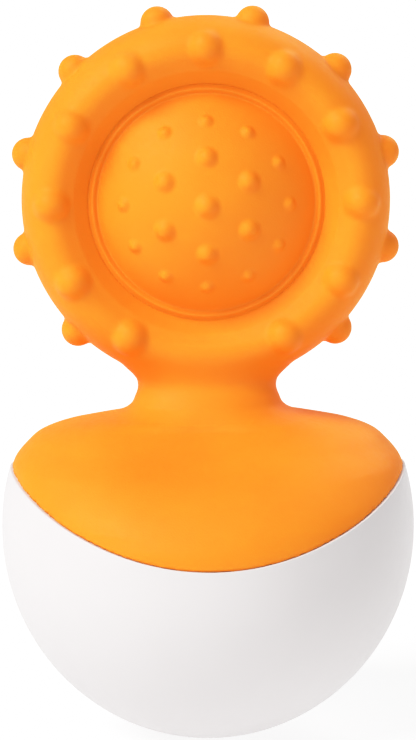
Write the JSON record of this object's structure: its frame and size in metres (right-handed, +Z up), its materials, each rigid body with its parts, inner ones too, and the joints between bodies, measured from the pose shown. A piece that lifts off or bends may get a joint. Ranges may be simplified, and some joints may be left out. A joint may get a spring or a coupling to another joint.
{
  "type": "roly poly toy",
  "caption": "Weighted round-bottomed roly poly toy that rights itself, with a soft skirt, a bumpy ring head on a short neck and a bubble that pops through the ring.",
  "frame": {"origin": "centre of the bottom of the bounding box, on the floor under the lowest point of the round bottom", "axes": "+Z up, -Y is the front that the bubble faces, +X to the viewer's right"},
  "size_m": [0.0824, 0.0824, 0.146],
  "materials": {
    "white_plastic": "satin moulded, off-white",
    "grey_plastic": "plain moulded, hidden",
    "cast_iron": "rough cast",
    "steel": "plated",
    "orange_silicone": "matte soft silicone"
  },
  "bodies": {
    "toy": {"base_shell": "white_plastic", "ballast": "cast_iron", "ballast_cover": "grey_plastic", "ballast_screws": "steel", "deck": "grey_plastic", "core_front": "grey_plastic", "core_rear": "grey_plastic", "core_screws": "steel", "neck_screws": "steel", "skin": "orange_silicone", "bubble_membrane": "orange_silicone"},
    "bubble": {"bubble_cap": "orange_silicone"}
  },
  "joints": [
    {"name": "bubble_pop", "type": "slide", "parent": "toy", "child": "bubble", "axis": [0, 1, 0], "range_m": [0, 0.017], "deforming": ["bubble_membrane"]}
  ]
}
